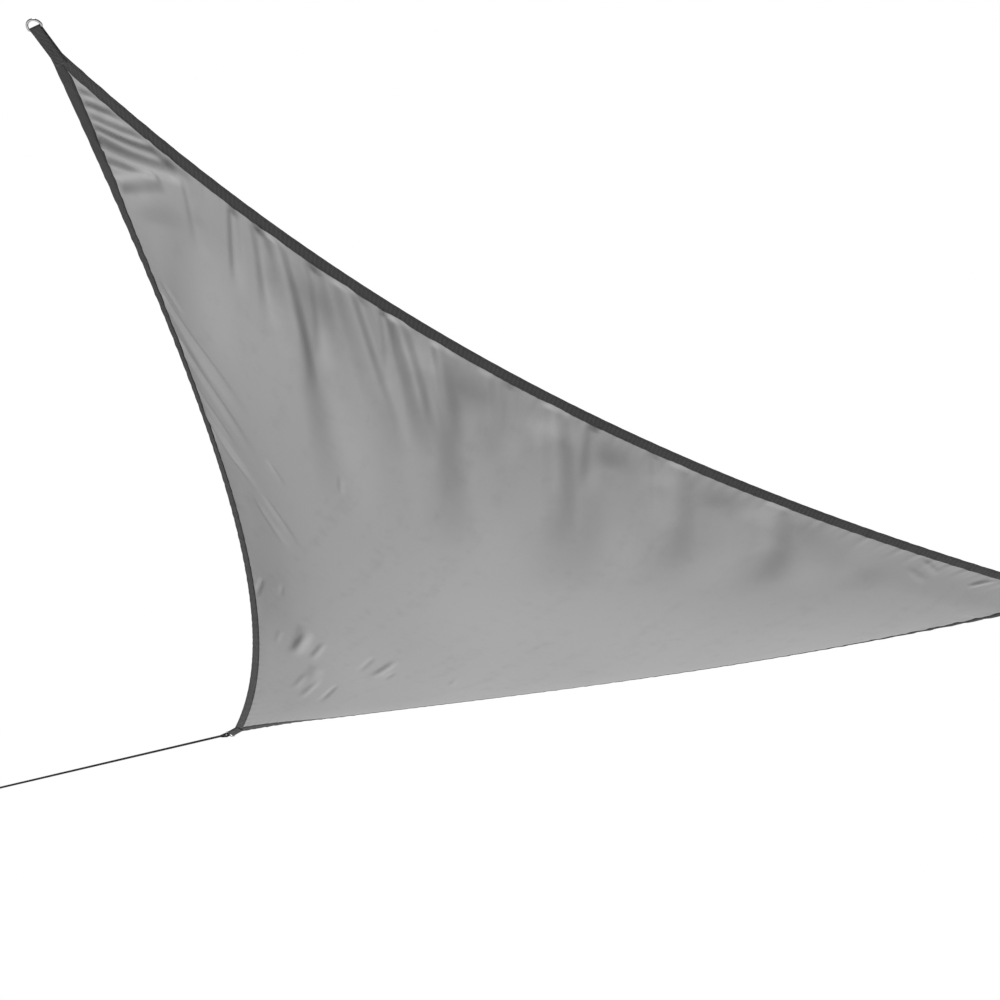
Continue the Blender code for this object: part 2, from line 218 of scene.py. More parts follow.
# Ripples across the high corner, from webbing to webbing.
RIPPLE = (
    (0.055, 0.080, 0.130, 0.030, 0.000, 0.013, 0.013, 0.0080),
    (0.072, 0.108, 0.190, 0.030, 0.000, 0.015, 0.016, 0.0110),
    (0.090, 0.138, 0.258, 0.030, 0.003, 0.018, 0.017, 0.0125),
    (0.105, 0.165, 0.330, 0.030, 0.000, 0.015, 0.016, 0.0090),
    (0.120, 0.192, 0.370, 0.040, 0.003, 0.017, 0.016, 0.0125),
    (0.145, 0.228, 0.430, 0.050, 0.006, 0.036, 0.040, 0.0210),
    (0.175, 0.275, 0.345, 0.140, 0.000, 0.018, 0.022, 0.0110),
    (0.215, 0.330, 0.360, 0.125, 0.000, 0.036, 0.030, -0.0130),
)

# Each table's creases set in and fade over these shares of their run.
CREASES = (
    (CREASE, 0.06, 0.45),
    (RIPPLE, 0.16, 0.16),
    (MARK, 0.35, 0.45),
)
CREASE_CALM = 0.021         # none is nearer to an edge than this
CREASE_RISE = 0.016         # and all are full this much further in
SPREAD = (0.75, 1.25)       # how wide a fold or crease is at its start and end

#  crest to crest  heading (deg)  height
WAVE = (
    (1.350, 20.0, 0.006),
    (0.930, 75.0, 0.004),
    (0.640, -35.0, 0.0025),
)

# Seam puckers: crest to crest along the edge, and height.
PUCKER = (
    (0.067, 0.0011),
    (0.047, 0.0009),
    (0.031, 0.0006),
)
PUCKER_IN = 0.075           # they die out this far in from the edge
PUCKER_ON = {"upper": 1.0, "lower": 1.0, "left": 0.7}
SEAM_ENDS = 0.03            # puckers and lip set in over this share of an edge

# A lip of cloth stands up beside the upper webbing.
LIP = 0.0110                # how high
LIP_SOON = 0.030            # how soon, going in from the edge
LIP_INSIDE = 0.150          # and how slowly it dies out further in

# ------------------------------------------------------------------- grid
COLS = 600                  # cells along the upper edge
COLS_LOST = 0.42            # cells that a row near the far tip goes without, as a share
ROW_PITCH = 0.0056          # of the first rows, on the flat panel
ROW_EVEN = 0.35             # rows keep that pitch this far in
ROW_GROWTH = 1.01           # and each is wider than the last from there on
ROW_WIDEST = 0.018
WEB_CELLS = 260             # along the webbing of an edge
BORDER = 0.02               # share of the panel that a border cell takes
STEP = 0.003                # share to each side when a slope is taken
SPAN_AT_TIP = 0.46          # what a share spans at a tip, of the panel's height
SPAN_RISE = 1.52            # and how it grows toward the middle of an edge
UP = np.array((0.0, 0.0, 1.0))

# --------------------------------------------------------------- the view
EYE = Vector((1.1258, -2.9463, -1.9775))
PITCH = 15.0
LENS = 50.4                 # on a 36 mm sensor
FLOOR_AT = (1.0, 2.0, -3.50)
FLOOR_R = 12.0
SUN_ENERGY = 3.6
SUN_ANGLE = 6.0
SUN_TILT = 13.1             # off the vertical
SUN_HEADING = -77.2
FILL_LIGHT = 0.03           # strength of the white surroundings as a light
WHITE = (1.0, 1.0, 1.0, 1.0)


def smooth(v):
    v = np.clip(v, 0.0, 1.0)
    return v * v * (3.0 - 2.0 * v)


def unit(v):
    v = np.asarray(v, dtype=float)
    return v / np.linalg.norm(v, axis=-1, keepdims=True)


# ------------------------------------------------------------ sail surface
def shares(far, right):
    return {"high": np.clip(1.0 - far - right, 0.0, None), "far": far, "right": right}


def edge_reach(far, right):
    """Metres in from each edge, and the share of the way along it."""
    share = shares(far, right)
    for name, start, end, facing, *_ in EDGE:
        t = np.clip(share[end] / np.maximum(1e-9, share[start] + share[end]), 0.0, 1.0)
        # a share spans less of the panel near the tips, where it narrows
        yield name, share[facing] * HEIGHT * (SPAN_AT_TIP + SPAN_RISE * t * (1.0 - t)), t


def droop(far, right):
    """How far the panel hangs below its belly just inside an edge."""
    depth = np.zeros_like(far)
    for name, reach, t in edge_reach(far, right):
        for edge, first, full, until, gone, deep, soon, inside in DROOP:
            if edge == name:
                along = smooth((t - first) / (full - first)) * smooth((gone - t) / (gone - until))
                depth += deep * along * (1.0 - np.exp(-reach / soon)) * np.exp(-reach / inside)
    return depth


def bare(far, right):
    """Middle surface without folds, from the shares of two tips."""
    share = shares(far, right)
    p = sum(np.outer(s, TIP[name]) for name, s in share.items())
    for _, start, end, facing, bow, bow_lean, sag, sag_lean in EDGE:
        near = share[start] + share[end]
        t = share[end] / np.maximum(near, 1e-9)
        along = unit(TIP[end] - TIP[start])
        inward = TIP[facing] - TIP[start]
        inward = unit(inward - along * inward.dot(along))
        arch = 4.0 * t * (1.0 - t) * near * near
        p = p + np.outer(bow * arch * (1.0 + bow_lean * (2.0 * t - 1.0)), inward)
        p = p - np.outer(sag * arch * (1.0 + sag_lean * (2.0 * t - 1.0)), UP)
    lean = 1.0 - BELLY_OFF_FAR * (far - 1 / 3) + BELLY_TO_HIGH * (share["high"] - 1 / 3)
    belly = BELLY * 27.0 * share["high"] * far * right * lean
    return p - np.outer(belly + droop(far, right), UP)


def normal(far, right):
    """Upward normal of the bare surface."""
    far, right = np.maximum(far, STEP), np.maximum(right, STEP)
    over = np.maximum(0.0, far + right - 1.0 + STEP)
    far, right = far - 0.5 * over, right - 0.5 * over
    ahead = bare(far + STEP, right) - bare(far - STEP, right)
    aside = bare(far, right + STEP) - bare(far, right - STEP)
    return unit(np.cross(aside, ahead))


def edge_room(far, right, calm, rise):
    """0 near an edge, 1 further in."""
    room = 1.0
    for _, reach, _ in edge_reach(far, right):
        room = room * smooth((reach - calm) / rise)
    return room


def trough(x, y, line, bow, left, right, start, fade):
    """1 along a line on the flat panel, falling to 0 left and right of it."""
    x0, y0, x1, y1 = line
    dx, dy = x1 - x0, y1 - y0
    run = math.hypot(dx, dy)
    u = ((x - x0) * dx + (y - y0) * dy) / (run * run)
    off = ((x - x0) * dy - (y - y0) * dx) / run - 4.0 * bow * u * (1.0 - u)
    wide = np.where(off < 0.0, left, right) * np.interp(u, (0.0, 1.0), SPREAD)
    across = np.cos(0.5 * np.pi * np.minimum(np.abs(off) / wide, 1.0)) ** 2
    return across * smooth(u / start) * smooth((1.0 - u) / fade)


def folds(x, y):
    return sum(deep * trough(x, y, line, 0.0, width / 2, width / 2, FOLD_START, FOLD_FADE)
               for *line, width, deep in FOLD)


def creases(x, y):
    return sum(deep * trough(x, y, line, bow, left, right, start, fade)
               for table, start, fade in CREASES
               for *line, bow, left, right, deep in table)


def pucker_depth(far, right):
    """Small gathers along the seams, and the lip beside the upper one."""
    depth = np.zeros_like(far)
    for name, reach, t in edge_reach(far, right):
        near = smooth(1.0 - reach / PUCKER_IN)
        ends = smooth(t / SEAM_ENDS) * smooth((1.0 - t) / SEAM_ENDS)
        for i, (length, height) in enumerate(PUCKER):
            wander = 0.9 * np.sin(9.0 * t + i) + 0.6 * np.sin(23.0 * t + 2 * i)
            swell = 0.65 + 0.35 * np.sin(17.0 * t + 3.0 * i)
            wave = np.sin(2.0 * np.pi * SIDE * t / length + wander)
            depth += PUCKER_ON[name] * height * near * ends * swell * wave
        if name == "upper":
            depth -= LIP * ends * (1.0 - np.exp(-reach / LIP_SOON)) * np.exp(-reach / LIP_INSIDE)
    return depth


def fold_depth(far, right):
    """How far folds, creases, waves and puckers push the panel down."""
    x = SIDE * (right + 0.5 * far)
    y = HEIGHT * far
    depth = folds(x, y)
    middle = smooth(54.0 * (1.0 - far - right) * far * right)
    for length, heading, height in WAVE:
        way = math.radians(heading)
        phase = (x * math.cos(way) + y * math.sin(way)) / length
        depth += middle * height * np.sin(2.0 * np.pi * phase)
    depth *= edge_room(far, right, FOLD_CALM, FOLD_RISE)
    depth += creases(x, y) * edge_room(far, right, CREASE_CALM, CREASE_RISE)
    return depth + pucker_depth(far, right)


def sail(far, right):
    """Middle surface of the cloth with all its folds."""
    return bare(far, right) - normal(far, right) * fold_depth(far, right)[:, None]


def sail_point(far, right):
    return sail(np.array([far]), np.array([right]))[0]


# ------------------------------------------------------------ node helpers
def socket_value(node, values):
    for name, value in values.items():
        node.inputs[name].default_value = value


def new_material(name):
    mat = bpy.data.materials.new(name)
    mat.use_nodes = True
    nodes = mat.node_tree.nodes
    return mat, nodes, mat.node_tree.links, nodes["Principled BSDF"]


def add(nodes, kind, **values):
    node = nodes.new(kind)
    for name, value in values.items():
        setattr(node, name, value)
    return node


def tone_ramp(nodes, low, dark, high, light):
    """Ramp from a dark tone at low to a light one at high."""
    ramp = add(nodes, "ShaderNodeValToRGB")
    first, last = ramp.color_ramp.elements
    first.position, first.color = low, (*dark, 1.0)
    last.position, last.color = high, (*light, 1.0)
    return ramp


# --------------------------------------------------------------- materials
def knit_material():
    """Knitted mesh: fine ribs with slack loops between, letting light through."""
    mat, nodes, links, shader = new_material("knit_cloth")
    uv = add(nodes, "ShaderNodeUVMap", uv_map="flat")
    ribs = add(nodes, "ShaderNodeTexWave", wave_type="BANDS", bands_direction="X")
    socket_value(ribs, {"Scale": 300.0, "Distortion": 0.0})
    rows = add(nodes, "ShaderNodeTexWave", wave_type="BANDS", bands_direction="Y")
    socket_value(rows, {"Scale": 420.0, "Distortion": 0.0})
    cloud = add(nodes, "ShaderNodeTexNoise")
    socket_value(cloud, {"Scale": 60.0, "Detail": 3.0, "Roughness": 0.6})
    streak = add(nodes, "ShaderNodeTexNoise")
    socket_value(streak, {"Scale": 2.0, "Detail": 3.0, "Roughness": 0.5})
    stretch = add(nodes, "ShaderNodeMapping")
    stretch.inputs["Scale"].default_value = (24.0, 3.0, 1.0)
    for node in (ribs, rows, cloud, stretch):
        links.new(uv.outputs["UV"], node.inputs["Vector"])
    links.new(stretch.outputs["Vector"], streak.inputs["Vector"])
    weave = add(nodes, "ShaderNodeMath", operation="MULTIPLY")
    links.new(ribs.outputs["Fac"], weave.inputs[0])
    links.new(rows.outputs["Fac"], weave.inputs[1])
    tone = add(nodes, "ShaderNodeMath", operation="ADD")
    links.new(cloud.outputs["Fac"], tone.inputs[0])
    links.new(streak.outputs["Fac"], tone.inputs[1])
    both = add(nodes, "ShaderNodeMath", operation="MULTIPLY_ADD")
    both.inputs[1].default_value = 0.35
    links.new(weave.outputs[0], both.inputs[0])
    links.new(tone.outputs[0], both.inputs[2])
    ramp = tone_ramp(nodes, 0.55, (0.327, 0.327, 0.327), 1.0, (0.370, 0.370, 0.370))
    links.new(both.outputs[0], ramp.inputs["Fac"])
    links.new(ramp.outputs["Color"], shader.inputs["Base Color"])
    socket_value(shader, {"Roughness": 0.85, "Sheen Weight": 0.08})
    bump = add(nodes, "ShaderNodeBump")
    socket_value(bump, {"Strength": 0.25, "Distance": 0.0006})
    links.new(weave.outputs[0], bump.inputs["Height"])
    links.new(bump.outputs["Normal"], shader.inputs["Normal"])
    through = add(nodes, "ShaderNodeBsdfTranslucent")
    links.new(ramp.outputs["Color"], through.inputs["Color"])
    mix = add(nodes, "ShaderNodeMixShader")
    mix.inputs["Fac"].default_value = 0.96
    links.new(shader.outputs["BSDF"], mix.inputs[1])
    links.new(through.outputs["BSDF"], mix.inputs[2])
    links.new(mix.outputs["Shader"], nodes["Material Output"].inputs["Surface"])
    return mat


def webbing_material():
    """Woven tape: herringbone ribs along its length, in near-black tones that are painted shade."""
    mat, nodes, links, shader = new_material("woven_tape")
    uv = add(nodes, "ShaderNodeUVMap", uv_map="flat")
    rib = add(nodes, "ShaderNodeTexWave", wave_type="BANDS", bands_direction="DIAGONAL")
    socket_value(rib, {"Scale": 160.0, "Distortion": 0.4, "Detail": 1.0})
    wear = add(nodes, "ShaderNodeTexNoise")
    socket_value(wear, {"Scale": 30.0, "Detail": 5.0, "Roughness": 0.65})
    links.new(uv.outputs["UV"], rib.inputs["Vector"])
    links.new(uv.outputs["UV"], wear.inputs["Vector"])
    tone = add(nodes, "ShaderNodeMath", operation="MULTIPLY_ADD")
    tone.inputs[1].default_value = 0.5
    links.new(rib.outputs["Fac"], tone.inputs[0])
    links.new(wear.outputs["Fac"], tone.inputs[2])
    # painted shade: these near-black tones stand for the shade of the opaque tape seen from below
    ramp = tone_ramp(nodes, 0.35, (0.050, 0.050, 0.051), 1.0, (0.072, 0.072, 0.073))
    links.new(tone.outputs[0], ramp.inputs["Fac"])
    links.new(ramp.outputs["Color"], shader.inputs["Base Color"])
    socket_value(shader, {"Roughness": 0.8, "Sheen Weight": 0.1})
    bump = add(nodes, "ShaderNodeBump")
    socket_value(bump, {"Strength": 0.5, "Distance": 0.0005})
    links.new(rib.outputs["Fac"], bump.inputs["Height"])
    links.new(bump.outputs["Normal"], shader.inputs["Normal"])
    return mat


def plain_material(name, dark, light, scale, roughness, metallic=0.0):
    """A colour that wanders a little between two tones."""
    mat, nodes, links, shader = new_material(name)
    place = add(nodes, "ShaderNodeTexCoord")
    noise = add(nodes, "ShaderNodeTexNoise")
    socket_value(noise, {"Scale": scale, "Detail": 4.0})
    links.new(place.outputs["Object"], noise.inputs["Vector"])
    ramp = tone_ramp(nodes, 0.3, dark, 0.7, light)
    links.new(noise.outputs["Fac"], ramp.inputs["Fac"])
    links.new(ramp.outputs["Color"], shader.inputs["Base Color"])
    socket_value(shader, {"Roughness": roughness, "Metallic": metallic})
    return mat


# ---------------------------------------------------------------- builders
def piece(name, points, faces, mat, replaces=(), uv=None, matrix=None):
    mesh = bpy.data.meshes.new(name)
    mesh.from_pydata([tuple(p) for p in points], [], faces)
    if uv is not None:
        layer = mesh.uv_layers.new(name="flat")
        for loop in mesh.loops:
            layer.data[loop.index].uv = uv[loop.vertex_index]
    mesh.shade_smooth()
    mesh.materials.append(mat)
    obj = bpy.data.objects.new(name, mesh)
    bpy.context.scene.collection.objects.link(obj)
    if matrix is not None:
        obj.matrix_world = matrix
    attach(obj, "root")
    if replaces:
        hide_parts(*replaces)
    return obj


def thicken(obj, thickness):
    """Give a sheet its thickness, all of it outward."""
    solid = obj.modifiers.new("thickness", "SOLIDIFY")
    solid.thickness = thickness
    solid.offset = 1.0
    solid.use_even_offset = True


def loft(lines, closed=False):
    """Faces between lines of equal count, laid one after another."""
    count = len(lines[0])
    points = [p for line in lines for p in line]
    faces = []
    for i in range(len(lines) - 1):
        for j in range(count if closed else count - 1):
            k = (j + 1) % count
            p, q = i * count, (i + 1) * count
            faces.append((p + j, p + k, q + k, q + j))
    return points, faces


# ------------------------------------------------------------------- cloth
def row_shares():
    """Rows from the upper edge, close together beside it."""
    rows, y, step = [0.0], 0.0, ROW_PITCH
    while True:
        y += step
        step = min(ROW_WIDEST, step * (1.0 if y < ROW_EVEN else ROW_GROWTH))
        if y > HEIGHT - 0.5 * step:
            return rows + [1.0]
        rows.append(y / HEIGHT)


def row_places(row):
    """Places of a row's points; its cells grow with the rows' own pitch."""
    width = 1.0 - row
    cells = max(1, round(COLS * width * (1.0 - COLS_LOST * row ** 0.5)))
    return [width * j / cells for j in range(cells + 1)]


def build_cloth(mat):
    """The panel, with triangles between rows of unlike cells."""
    rows = row_shares()
    places = [row_places(row) for row in rows]
    far = np.array([row for row, line in zip(rows, places) for _ in line])
    right = np.array([v for line in places for v in line])
    points = sail(far, right)
    faces, base = [], 0
    for here, there in zip(places, places[1:]):
        over = base + len(here)
        i = j = 0
        while i < len(here) - 1 or j < len(there) - 1:
            step_here = i < len(here) - 1
            if step_here and j < len(there) - 1:
                step_here = here[i + 1] - here[0] <= there[j + 1] + (here[-1] - there[-1]) / 2
            if step_here:
                faces.append((base + i, base + i + 1, over + j))
                i += 1
            else:
                faces.append((base + i, over + j + 1, over + j))
                j += 1
        base = over
    uv = list(zip(right + 0.5 * far, far * HEIGHT / SIDE))
    return piece("sail_panel", points, faces, mat, ["sail_cloth"], uv)


# ------------------------------------------------------------ edge webbing
def border(name, t, inside):
    """Shares at t along an edge, inside border cells in."""
    s = BORDER * inside
    if name == "upper":
        return s, t
    if name == "lower":
        return t, 1.0 - t - s
    return 1.0 - t, s


def mitre(name, t):
    """How much of the border cell lies on this edge's side of the corners."""
    start, end = t / BORDER, (1.0 - t) / BORDER
    if name == "left":
        return min(0.5 * start, end)
    return min(start, 0.5 * end)


def station(name, t):
    """Points across the webbing from the edge inward, with their normals."""
    p, q = sail_point(*border(name, t, 0.0)), sail_point(*border(name, t, 1.0))
    ahead = sail_point(*border(name, min(1.0, t + STEP), 0.0))
    behind = sail_point(*border(name, max(0.0, t - STEP), 0.0))
    along = unit(ahead - behind)
    across = (q - p) - along * (q - p).dot(along)
    room = np.linalg.norm(across)
    part = max(WEB_LEAST, min(WEB_W / room, mitre(name, t) - MITRE_GAP / room))
    inside = [border(name, t, part * k / 3) for k in range(4)]
    points = [sail_point(*s) for s in inside]
    outward = -unit(across)
    n = unit(np.cross(along, outward))
    if n[2] < 0.0:
        n = -n
    return points, outward, n


def build_webbing(name, tape, thread):
    """Webbing folded over an edge and sewn down with two rows each side."""
    first = WEB_END * BORDER
    stops = [first + (1.0 - 2.0 * first) * i / WEB_CELLS for i in range(WEB_CELLS + 1)]
    level = CLOTH_T / 2 + WEB_GAP
    round_over = level + FOLD_ROOM
    lines, seams = [], []
    for t in stops:
        points, out, n = station(name, t)
        line = [p + n * level for p in reversed(points)]
        for a in (60.0, 30.0, 0.0, -30.0, -60.0):
            turn = math.radians(a)
            line.append(points[0] + out * (round_over * math.cos(turn)) + n * (level * math.sin(turn)))
        line += [p - n * level for p in points]
        lines.append(line)
        seams.append((points, n))
    points, faces = loft(lines)
    span = len(lines[0])
    uv = [(stops[k // span], WEB_CUT_W * (k % span) / span / SIDE) for k in range(len(points))]
    web = piece("webbing_" + name, points, faces, tape, ["edge_webbing_" + name], uv)
    thicken(web, WEB_T)
    lift = level + WEB_T
    rows = []
    for share in SEAM_ROWS:
        for side in (1.0, -1.0):
            rows.append([
                (inner[0] * (1.0 - share) + inner[3] * share + n * side * lift, n * side)
                for inner, n in seams
            ])
    sewing = build_stitches("sewing_" + name, rows, thread)
    return web, sewing


def build_stitches(name, rows, mat, pitch=0.0062, share=0.72, half=0.00045):
    """Short threads laid end to end along lines of (point, normal)."""
    points, faces = [], []
    for row in rows:
        line = np.array([p for p, _ in row])
        norms = np.array([n for _, n in row])
        length = np.concatenate(([0.0], np.cumsum(np.linalg.norm(np.diff(line, axis=0), axis=1))))
        count = int(length[-1] / pitch)
        for i in range(2, count - 2):
            ends = [np.array([np.interp(s, length, line[:, c]) for c in range(3)])
                    for s in (pitch * i, pitch * (i + share))]
            n = unit(np.array([np.interp(pitch * i, length, norms[:, c]) for c in range(3)]))
            way = unit(ends[1] - ends[0])
            side = np.cross(way, n) * half
            quarter = 0.25 * (ends[1] - ends[0])
            base = len(points)
            points += [ends[0]]
            for mid in (ends[0] + quarter, ends[1] - quarter):
                points += [mid + side, mid + n * half * 1.3, mid - side]
            points += [ends[1]]
            a, b, z = base, base + 1, base + 7
            faces += [(a, b, b + 1), (a, b + 1, b + 2), (a, b + 2, b)]
            faces += [(b, b + 3, b + 4, b + 1), (b + 1, b + 4, b + 5, b + 2), (b + 2, b + 5, b + 3, b)]
            faces += [(z, b + 4, b + 3), (z, b + 5, b + 4), (z, b + 3, b + 5)]
    return piece(name, points, faces, mat)


# ----------------------------------------------------------------- corners
def corner(name):
    """Frame at a tip: X across, Y outward, Z up from the tip's own facet."""
    b = BORDER
    beside, inside = {
        "high": (((b, 0.0), (0.0, b)), (b, b)),
        "far": (((1.0 - b, b), (1.0 - b, 0.0)), (1.0 - 2 * b, b)),
        "right": (((0.0, 1.0 - b), (b, 1.0 - b)), (b, 1.0 - 2 * b)),
    }[name]
    tip = Vector(TIP[name])
    p, q, r = (Vector(bare(np.array([s[0]]), np.array([s[1]]))[0]) for s in (*beside, inside))
    outward = -((p - tip).normalized() + (q - tip).normalized()).normalized()
    up = (p - tip).cross(q - tip).normalized()
    if up.z < 0.0:
        up = -up
    across = outward.cross(up)
    matrix = Matrix((across, outward, up)).transposed().to_4x4()
    matrix.translation = tip
    near = (tip - 0.5 * (p + q)).dot(outward)
    slope = (r - tip).dot(up) / ((tip - r).dot(outward) - near)
    return matrix, near, slope


def build_corner_loop(name, tape, thread):
    """Webbing in under the sail, round the ring's bar and back above it."""
    matrix, near, slope = corner(name)
    level = CLOTH_T / 2 + WEB_T + LOOP_GAP + LOOP_OFF

    def height(y):
        """The loop follows the panel's slope inside the tip's facet."""
        return 0.0 if y > -near else (-y - near) * slope

    legs = [LOOP_FLAT - (LOOP_FLAT + LOOP_IN) * i / 16 for i in range(17)]
    path = [(y, height(y) - level) for y in reversed(legs)]
    bend = RING_WIRE / 2 + LOOP_GAP
    path += [(BAR_OUT + bend * math.cos(a), bend * math.sin(a))
             for a in (math.radians(-90 + 15 * i) for i in range(13))]
    path += [(y, height(y) + level) for y in legs]
    wide = [LOOP_W * (i / 6 - 0.5) for i in range(7)]
    lines = [[(-x, y, z) for x in wide] for y, z in path]
    points, faces = loft(lines)
    uv = [((k // 7) * 0.0055 / SIDE, (k % 7) * 0.005 / SIDE) for k in range(len(points))]
    loop = piece("loop_" + name, points, faces, tape, ["corner_loop_" + name], uv, matrix)
    thicken(loop, LOOP_T)
    lift = level + LOOP_T
    a, b = (-SEWN_HALF, -SEWN_FROM), (SEWN_HALF, -SEWN_FROM)
    c, d = (SEWN_HALF, -LOOP_IN + SEWN_SHORT), (-SEWN_HALF, -LOOP_IN + SEWN_SHORT)
    rows = []
    for side in (1.0, -1.0):
        for line in ((a, b, c, d, a), (a, c), (b, d)):
            row = []
            for (x0, y0), (x1, y1) in zip(line, line[1:]):
                for i in range(11):
                    x, y = x0 + (x1 - x0) * i / 11, y0 + (y1 - y0) * i / 11
                    spot = matrix @ Vector((x, y, height(y) + side * lift))
                    row.append((np.array(spot), np.array(matrix.col[2].to_3d()) * side))
            rows.append(row)
    sewing = build_stitches("sewing_loop_" + name, rows, thread, 0.0036)
    return loop, sewing


def ring_frame(name, pull):
    """Frame on the ring's bar, turned about it to face the pull."""
    matrix = corner(name)[0]
    across = matrix.col[0].to_3d()
    outward = (pull - across * pull.dot(across)).normalized()
    ring = Matrix((across, outward, across.cross(outward))).transposed().to_4x4()
    ring.translation = matrix @ Vector((0.0, BAR_OUT, 0.0))
    return ring


def tube(path, radius, sides, closed, relief=None):
    """Points and faces of a tube; relief gives the height at (along, turn)."""
    path = [Vector(p) for p in path]
    count = len(path)
    guide = (path[1] - path[0]).orthogonal().normalized()
    lines, along = [], 0.0
    for i, p in enumerate(path):
        ahead = path[(i + 1) % count] if closed else path[min(i + 1, count - 1)]
        behind = path[i - 1] if closed or i else p
        way = (ahead - behind).normalized()
        guide = (guide - way * guide.dot(way)).normalized()
        other = way.cross(guide)
        if i:
            along += (p - path[i - 1]).length
        ring = []
        for j in range(sides):
            turn = 2.0 * math.pi * j / sides
            r = radius + (relief(along, turn) if relief else 0.0)
            ring.append(p + guide * (r * math.cos(turn)) + other * (r * math.sin(turn)))
        lines.append(ring)
    if closed:
        lines.append(lines[0])
        points, faces = loft(lines, True)
        total = count * sides
        return points[:total], [tuple(k % total for k in face) for face in faces]
    points, faces = loft(lines, True)
    faces.append(tuple(reversed(range(sides))))
    faces.append(tuple((count - 1) * sides + j for j in range(sides)))
    return points, faces


def build_ring(name, pull, mat):
    """D ring of round wire, its bar closed by a small weld."""
    bend = RING_BEND
    path = [(-BAR_HALF + 2.0 * BAR_HALF * i / 12, 0.0, 0.0) for i in range(13)]
    path += [(RING_HALF - bend + bend * math.sin(a), bend - bend * math.cos(a), 0.0)
             for a in (math.radians(22.5 * i) for i in range(1, 4))]
    path += [(RING_HALF * math.cos(a), RING_SIDE + RING_HALF * math.sin(a), 0.0)
             for a in (math.radians(5.0 * i) for i in range(1, 36))]
    path += [(-RING_HALF + bend - bend * math.sin(a), bend - bend * math.cos(a), 0.0)
             for a in (math.radians(22.5 * i) for i in range(3, 0, -1))]

    def weld(along, _turn):
        off = (along - BAR_HALF) / WELD_HALF
        return WELD_HIGH * math.exp(-off * off)

    points, faces = tube(path, RING_WIRE / 2, 20, True, weld)
    matrix = ring_frame(name, pull)
    piece("ring_" + name, points, faces, mat, ["d_ring_" + name], None, matrix)
    return matrix


# -------------------------------------------------------------------- rope
def braid(along, turn):
    """Relief of a sixteen-strand braid, half of them winding each way."""
    lean = 2.0 * math.pi * along / LAY
    left = math.sin(STRANDS * turn + STRANDS * lean)
    right = math.sin(STRANDS * turn - STRANDS * lean)
    return STRAND_DEEP * max(left, right) - STRAND_DEEP


def rope_frame(ring):
    """Frame where the rope pulls on the ring's bow: X along the rope."""
    local = ring.inverted().to_3x3() @ ROPE_WAY
    bow = Vector((RING_HALF * local.x, RING_SIDE + RING_HALF * local.y, 0.0))
    up = ring.col[2].to_3d()
    up = (up - ROPE_WAY * up.dot(ROPE_WAY)).normalized()
    matrix = Matrix((ROPE_WAY, up.cross(ROPE_WAY), up)).transposed().to_4x4()
    matrix.translation = ring @ bow
    return matrix


def teardrop(radius, reach):
    """Loop in the XZ plane: round at 0, its legs closing at reach."""
    bend = []
    for i in range(49):
        a = math.radians(-100.0 + 200.0 * (i / 48)) + math.pi
        bend.append((radius * math.cos(a), 0.0, radius * math.sin(a)))
    legs = []
    x0, _, z0 = bend[0]
    for i in range(1, 13):
        s = i / 12
        ease = s * s * (3.0 - 2.0 * s)
        z = z0 + (math.copysign(EYE_THROAT, z0) - z0) * ease
        legs.append((x0 + (reach - x0) * s, 0.0, z))
    other = [(x, 0.0, -z) for x, _, z in legs]
    return list(reversed(legs)) + bend + other


def build_rope(ring, mat, twine):
    """The taut rope with an eye round the ring and one at its end."""
    matrix = rope_frame(ring)
    start = EYE_LEG + EYE_R + ROPE_D / 2 + ROPE_GAP
    stop = start + ROPE_LEN
    cells = 899
    route = [(start - ROPE_INTO + (ROPE_LEN + 2.0 * ROPE_INTO) * i / cells, 0.0, 0.0)
             for i in range(cells + 1)]
    points, faces = tube(route, ROPE_D / 2, 32, False, braid)
    rope = piece("braided_rope", points, faces, mat, ["tie_rope"], None, matrix)

    def eye(name, radius, reach, frame_at, node):
        points, faces = tube(teardrop(radius, reach), ROPE_D / 2 - 0.0001, 24, False, braid)
        loop = piece(name, points, faces, mat, [node], None, frame_at)
        points, faces = whipping(reach)
        wrap = piece(name + "_whipping", points, faces, twine, (), None, frame_at)
        return loop, wrap

    near = eye("eye_at_ring", EYE_R, EYE_LEG + EYE_TAIL, matrix, "rope_eye")
    turned = matrix @ Matrix.Translation((stop + ROPE_GAP + ROPE_D / 2 + END_R + END_LEG, 0.0, 0.0))
    turned = turned @ Matrix.Rotation(math.pi, 4, "Z")
    far = eye("eye_at_end", END_R, END_LEG + END_TAIL, turned, "rope_end_eye")
    points = [matrix @ Vector((start + ROPE_LEN * i / 54, 0.0, 0.0)) for i in range(55)]


def whipping(reach):
    """Twine wound round two legs of rope that taper into one."""
    sides, steps = 28, 8
    rings = WHIP_TURNS * steps
    lines = []
    for i in range(rings + 1):
        s = i / rings
        x = reach - WHIP_BEFORE + WHIP_LEN * s
        ridge = TWINE_HIGH * abs(math.sin(math.pi * i / steps))
        wide = WHIP_WIDE - WHIP_TAPER * s + ridge
        thin = WHIP_THIN + ridge
        lines.append([
            (x, thin * math.cos(2.0 * math.pi * j / sides), wide * math.sin(2.0 * math.pi * j / sides))
            for j in range(sides)
        ])
    points, faces = loft(lines, True)
    last = rings * sides
    faces.append(tuple(reversed(range(sides))))
    faces.append(tuple(last + j for j in range(sides)))
    return points, faces


# ------------------------------------------------------- view, floor, light
def build_view():
    camera = bpy.data.objects.new("camera", bpy.data.cameras.new("camera"))
    camera.location = EYE
    camera.rotation_euler = (math.radians(90.0 + PITCH), 0.0, 0.0)
    camera.data.lens = LENS
    camera.data.clip_end = 200.0
    bpy.context.scene.collection.objects.link(camera)
    bpy.context.scene.camera = camera
    bpy.context.scene.view_settings.view_transform = "Standard"


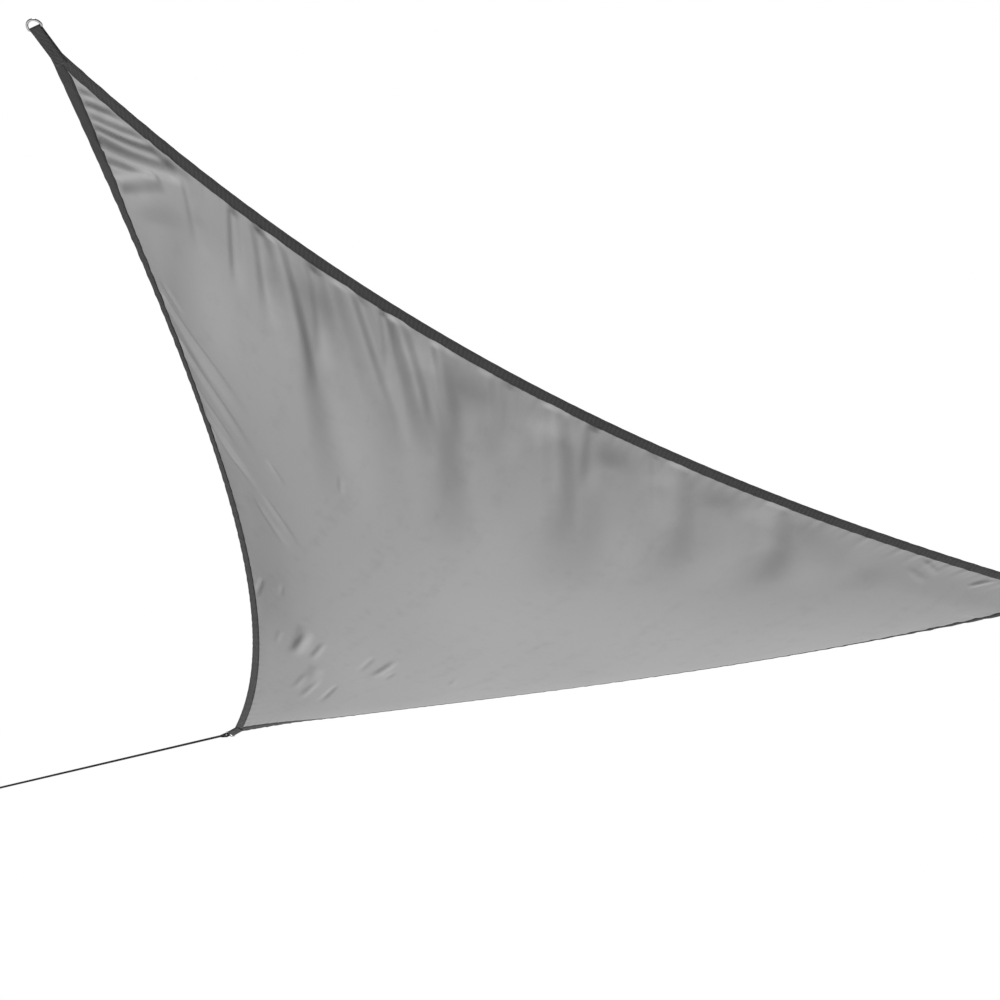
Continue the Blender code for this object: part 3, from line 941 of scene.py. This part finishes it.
def build_floor():
    bpy.ops.mesh.primitive_circle_add(vertices=96, radius=FLOOR_R, fill_type="NGON",
                                      location=FLOOR_AT)
    floor = bpy.context.object
    floor.name = "floor"
    floor.data.materials.append(
        plain_material("pale_floor", (0.74, 0.74, 0.74), (0.80, 0.80, 0.80), 0.4, 0.9))


def build_light():
    """Sun from above, in surroundings that look white but give little light."""
    sun = bpy.data.objects.new("sun", bpy.data.lights.new("sun", "SUN"))
    sun.data.energy = SUN_ENERGY
    sun.data.angle = math.radians(SUN_ANGLE)
    sun.rotation_euler = (math.radians(SUN_TILT), 0.0, math.radians(SUN_HEADING))
    bpy.context.scene.collection.objects.link(sun)
    world = bpy.data.worlds.new("studio")
    bpy.context.scene.world = world
    world.use_nodes = True
    nodes, links = world.node_tree.nodes, world.node_tree.links
    seen = nodes["Background"]
    socket_value(seen, {"Color": WHITE, "Strength": 1.0})
    lit = add(nodes, "ShaderNodeBackground")
    socket_value(lit, {"Color": WHITE, "Strength": FILL_LIGHT})
    path = add(nodes, "ShaderNodeLightPath")
    mix = add(nodes, "ShaderNodeMixShader")
    links.new(path.outputs["Is Camera Ray"], mix.inputs["Fac"])
    links.new(lit.outputs["Background"], mix.inputs[1])
    links.new(seen.outputs["Background"], mix.inputs[2])
    links.new(mix.outputs["Shader"], nodes["World Output"].inputs["Surface"])


# -------------------------------------------------------------------- main
build_view()
knit = knit_material()
tape = webbing_material()
thread = plain_material("sewing_thread", (0.020, 0.020, 0.020), (0.045, 0.045, 0.045), 300.0, 0.6)
steel = plain_material("ring_steel", (0.50, 0.50, 0.51), (0.66, 0.66, 0.67), 120.0, 0.24, 1.0)
black = plain_material("rope_yarn", (0.009, 0.009, 0.009), (0.020, 0.020, 0.020), 400.0, 0.65)
twine = plain_material("whipping_twine", (0.014, 0.014, 0.014), (0.030, 0.030, 0.030), 500.0, 0.6)

far_ring = build_ring("far", ROPE_WAY, steel)
build_rope(far_ring, black, twine)
for corner_name in ("high", "right"):
    build_ring(corner_name, corner(corner_name)[0].col[1].to_3d(), steel)
cloth = build_cloth(knit)
trims = []
for edge_name in ("upper", "lower", "left"):
    trims += build_webbing(edge_name, tape, thread)
for corner_name in TIP:
    trims += build_corner_loop(corner_name, tape, thread)

build_floor()
build_light()
